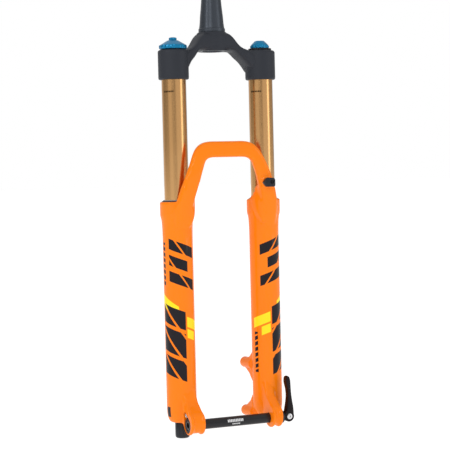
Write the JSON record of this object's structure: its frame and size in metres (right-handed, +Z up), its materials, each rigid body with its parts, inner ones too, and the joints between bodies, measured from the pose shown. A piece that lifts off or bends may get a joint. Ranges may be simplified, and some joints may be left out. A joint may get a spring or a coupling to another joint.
{
  "type": "suspension fork",
  "caption": "Single-crown telescopic bicycle suspension fork with a tapered steerer, braced lower legs, adjuster dials and a quick-release through axle.",
  "frame": {"origin": "crown race seat on the steerer's axis", "axes": "+Z up the steerer, the fork's front faces -Y, +X is the rider's left"},
  "size_m": [0.191, 0.098, 0.815],
  "materials": {
    "orange_paint": "gloss",
    "gold_coat": "satin, hard anodised gold",
    "grey_anodise": "satin, dark grey anodised",
    "steerer_grey": "satin, dark grey anodised, brushed round",
    "blue_anodise": "satin, blue anodised",
    "black_anodise": "satin, black anodised",
    "bright_steel": "bright",
    "bare_aluminium": "machined",
    "black_rubber": "matt",
    "oiled_foam": "open-cell foam, oiled",
    "bushing_coat": "low-friction coating on a split shell",
    "blue_plastic": "moulded",
    "black_plastic": "moulded"
  },
  "bodies": {
    "upper_assembly": {"steerer_tube": "steerer_grey", "crown": "grey_anodise", "stanchion_right": "gold_coat", "stanchion_left": "gold_coat", "damper_top_cap": "black_anodise", "damper_cartridge": "bare_aluminium", "compression_valve": "bright_steel", "damper_bladder": "black_rubber", "damper_seal_head": "black_anodise", "air_top_cap": "black_anodise", "valve_body": "bright_steel", "volume_spacer_1": "blue_plastic", "volume_spacer_2": "blue_plastic", "volume_spacer_3": "blue_plastic", "top_out_bumper": "black_rubber", "air_seal_head": "black_plastic", "seal_head_circlip": "bright_steel"},
    "compression_dial": {"compression_dial": "blue_anodise"},
    "compression_fine_knob": {"compression_fine_knob": "blue_anodise"},
    "air_cap": {"air_cap": "blue_anodise"},
    "valve_core": {"valve_core_pin": "bright_steel"},
    "lower_assembly": {"lower_casting": "orange_paint", "wiper_seal_left": "black_rubber", "wiper_seal_right": "black_rubber", "foam_ring_left": "oiled_foam", "foam_ring_right": "oiled_foam", "upper_bushing_left": "bushing_coat", "upper_bushing_right": "bushing_coat", "lower_bushing_left": "bushing_coat", "lower_bushing_right": "bushing_coat", "crush_washer_left": "bare_aluminium", "crush_washer_right": "bare_aluminium", "bottom_out_bumper": "black_rubber", "air_foot_nut": "black_anodise", "damper_foot_nut": "black_anodise", "air_shaft": "bare_aluminium", "air_piston": "black_plastic", "damper_shaft": "bright_steel", "damper_piston": "bright_steel", "hose_guide": "black_plastic", "hose_guide_screw": "bright_steel", "axle_nut": "black_anodise", "axle_nut_keeper": "bright_steel", "keeper_screw": "bright_steel"},
    "rebound_knob": {"rebound_knob": "blue_anodise"},
    "rebound_cover": {"rebound_cover": "black_plastic"},
    "axle_carrier": {"axle_washer": "bare_aluminium"},
    "axle": {"axle_shaft": "black_anodise", "cam_follower": "black_plastic", "lever_pivot_pin": "bright_steel"},
    "lever": {"qr_lever": "black_anodise"}
  },
  "joints": [
    {"name": "fork_travel", "type": "slide", "parent": "upper_assembly", "child": "lower_assembly", "axis": [0, 0, 1], "range_m": [0, 0.17], "stiffness_N_per_m": 3000, "springref_m": -0.02},
    {"name": "compression_dial_turn", "type": "hinge", "parent": "upper_assembly", "child": "compression_dial", "pos_m": [-0.0705, -0.017, -0.022], "axis": [0, 0, 1], "range_deg": [0, 90]},
    {"name": "compression_fine_turn", "type": "hinge", "parent": "upper_assembly", "child": "compression_fine_knob", "pos_m": [-0.0705, -0.017, -0.012], "axis": [0, 0, 1], "range_deg": [0, 330]},
    {"name": "air_cap_lift", "type": "slide", "parent": "upper_assembly", "child": "air_cap", "axis": [0, 0, 1], "range_m": [0, 0.02]},
    {"name": "valve_core_press", "type": "slide", "parent": "upper_assembly", "child": "valve_core", "axis": [0, 0, -1], "range_m": [0, 0.0015], "stiffness_N_per_m": 2000, "springref_m": -0.001},
    {"name": "rebound_turn", "type": "hinge", "parent": "lower_assembly", "child": "rebound_knob", "pos_m": [-0.0705, -0.017, -0.588], "axis": [0, 0, 1], "range_deg": [0, 330]},
    {"name": "rebound_cover_pull", "type": "slide", "parent": "lower_assembly", "child": "rebound_cover", "axis": [0, 0, -1], "range_m": [0, 0.03]},
    {"name": "axle_withdraw", "type": "slide", "parent": "lower_assembly", "child": "axle_carrier", "axis": [1, 0, 0], "range_m": [0, 0.17]},
    {"name": "axle_turn", "type": "hinge", "parent": "axle_carrier", "child": "axle", "pos_m": [0, -0.051, -0.577], "axis": [1, 0, 0], "range_deg": [0, 180]},
    {"name": "lever_swing", "type": "hinge", "parent": "axle", "child": "lever", "pos_m": [0.087, -0.051, -0.577], "axis": [0, 1, 0], "range_deg": [0, 150]}
  ]
}
